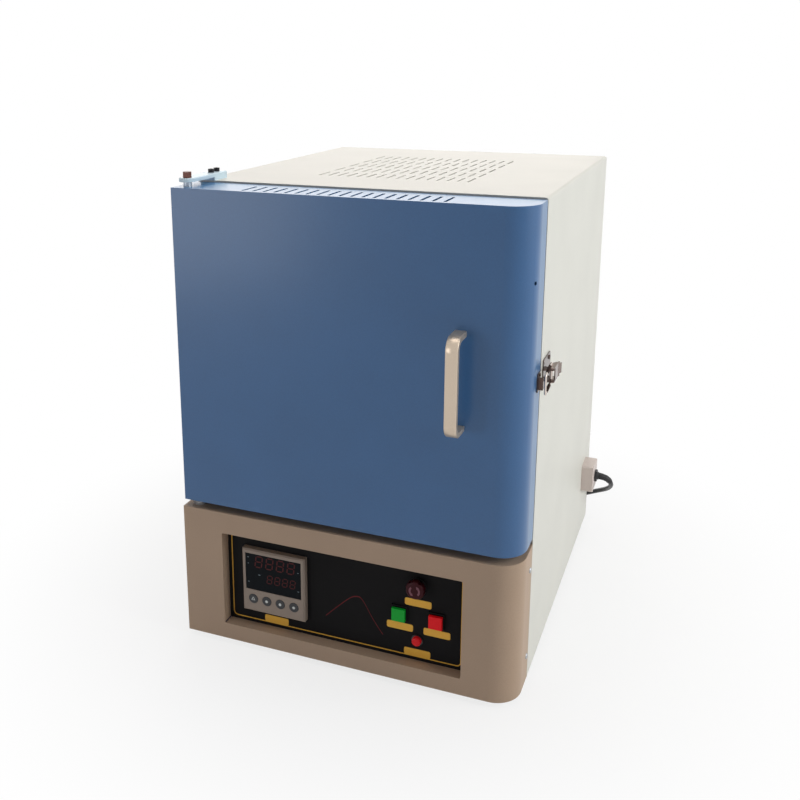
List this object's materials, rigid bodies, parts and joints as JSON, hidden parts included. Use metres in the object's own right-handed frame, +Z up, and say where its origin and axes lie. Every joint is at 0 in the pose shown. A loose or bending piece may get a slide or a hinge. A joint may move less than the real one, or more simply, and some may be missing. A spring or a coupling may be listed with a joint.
{
  "type": "muffle furnace",
  "caption": "Bench muffle furnace: side-hinged vented door with draw latch over a control panel, fibre-lined heated chamber, mains lead.",
  "frame": {"origin": "on the bench under the middle of the box round the furnace without its lead", "axes": "+Z up, the door faces -Y, +X towards the door's free side with the latch and the lead"},
  "size_m": [0.5343, 0.779, 0.6753],
  "materials": {
    "blue_paint": "satin",
    "cream_paint": "satin",
    "fascia_paint": "satin",
    "arm_paint": "satin",
    "panel_black": "satin",
    "steel": "satin",
    "nickel": "satin",
    "chrome": "polished",
    "dark_screw": "satin",
    "brown_bolt": "satin",
    "fibre": "matte",
    "hearth": "matte",
    "seal": "matte",
    "wire": "matte",
    "probe": "matte",
    "foot_rubber": "matte",
    "bezel": "matte",
    "window": "gloss",
    "key_plastic": "gloss",
    "green": "gloss",
    "red": "gloss",
    "maroon": "gloss",
    "switch_black": "matte",
    "box_grey": "matte",
    "cord_black": "satin",
    "brass": "satin"
  },
  "bodies": {
    "casing": {"base_pan": "cream_paint", "cable_box": "box_grey", "cable_gland": "cord_black", "control_panel": "panel_black", "controller_case": "bezel", "controller_window": "window", "cord_coil": "cord_black", "cord_lead": "cord_black", "deck_plate": "steel", "emergency_body": "switch_black", "fascia": "fascia_paint", "fascia_screws": "steel", "hearth_plate": "hearth", "heating_wire_left": "wire", "heating_wire_right": "wire", "insulation_back": "fibre", "insulation_floor": "fibre", "insulation_left": "fibre", "insulation_right": "fibre", "insulation_roof": "fibre", "latch_base": "chrome", "latch_pin": "steel", "lower_arm_screws": "dark_screw", "lower_hinge_arm": "arm_paint", "mouth_frame": "steel", "plug_body": "cord_black", "plug_pins": "brass", "power_lamp_body": "chrome", "power_lamp_lens": "red", "rear_panel": "cream_paint", "rear_screws": "dark_screw", "rubber_feet": "foot_rubber", "side_panel_left": "cream_paint", "side_panel_right": "cream_paint", "start_button_body": "switch_black", "stop_button_body": "switch_black", "thermocouple_head": "steel", "thermocouple_sheath": "probe", "top_cover": "cream_paint", "upper_arm_screws": "dark_screw", "upper_hinge_arm": "arm_paint"},
    "door": {"door_shell": "blue_paint", "door_backplate": "steel", "door_seal": "seal", "door_plug": "fibre", "handle": "nickel", "handle_screws": "steel", "hinge_blocks": "steel", "upper_pivot_bolt": "brown_bolt", "latch_keeper": "chrome"},
    "latch_lever": {"latch_lever": "chrome"},
    "latch_bail": {"latch_bail": "chrome"},
    "start_button": {"start_button_cap": "green"},
    "stop_button": {"stop_button_cap": "red"},
    "emergency_stem": {"emergency_stem": "switch_black"},
    "emergency_cap": {"emergency_cap": "maroon"},
    "controller_key_1": {"controller_key_1": "key_plastic"},
    "controller_key_2": {"controller_key_2": "key_plastic"},
    "controller_key_3": {"controller_key_3": "key_plastic"},
    "controller_key_4": {"controller_key_4": "key_plastic"}
  },
  "joints": [
    {"name": "door_swing", "type": "hinge", "parent": "casing", "child": "door", "pos_m": [-0.234, -0.253, 0.435], "axis": [0, 0, -1], "range_deg": [0, 170]},
    {"name": "latch_lever_turn", "type": "hinge", "parent": "casing", "child": "latch_lever", "pos_m": [0.241, -0.183, 0.432], "axis": [0, 0, -1], "range_deg": [-12, 100]},
    {"name": "latch_bail_turn", "type": "hinge", "parent": "latch_lever", "child": "latch_bail", "pos_m": [0.23918, -0.17266, 0.432], "axis": [0, 0, 1], "range_deg": [-16.2, 133.6]},
    {"name": "start_button_press", "type": "slide", "parent": "casing", "child": "start_button", "axis": [0, 1, 0], "range_m": [0, 0.003], "stiffness_N_per_m": 500, "springref_m": -0.0008},
    {"name": "stop_button_press", "type": "slide", "parent": "casing", "child": "stop_button", "axis": [0, 1, 0], "range_m": [0, 0.003], "stiffness_N_per_m": 500, "springref_m": -0.0008},
    {"name": "emergency_press", "type": "slide", "parent": "casing", "child": "emergency_stem", "axis": [0, 1, 0], "range_m": [0, 0.004]},
    {"name": "emergency_twist", "type": "hinge", "parent": "emergency_stem", "child": "emergency_cap", "pos_m": [0.093, -0.276, 0.144], "axis": [0, 1, 0], "range_deg": [0, 45], "stiffness_Nm_per_rad": 0.05},
    {"name": "controller_key_1_press", "type": "slide", "parent": "casing", "child": "controller_key_1", "axis": [0, 1, 0], "range_m": [0, 0.0008], "stiffness_N_per_m": 1200, "springref_m": -0.0003},
    {"name": "controller_key_2_press", "type": "slide", "parent": "casing", "child": "controller_key_2", "axis": [0, 1, 0], "range_m": [0, 0.0008], "stiffness_N_per_m": 1200, "springref_m": -0.0003},
    {"name": "controller_key_3_press", "type": "slide", "parent": "casing", "child": "controller_key_3", "axis": [0, 1, 0], "range_m": [0, 0.0008], "stiffness_N_per_m": 1200, "springref_m": -0.0003},
    {"name": "controller_key_4_press", "type": "slide", "parent": "casing", "child": "controller_key_4", "axis": [0, 1, 0], "range_m": [0, 0.0008], "stiffness_N_per_m": 1200, "springref_m": -0.0003}
  ],
  "couplings": [
    {"joint": "latch_bail_turn", "follows": "latch_lever_turn", "ratio": 1.3333}
  ]
}
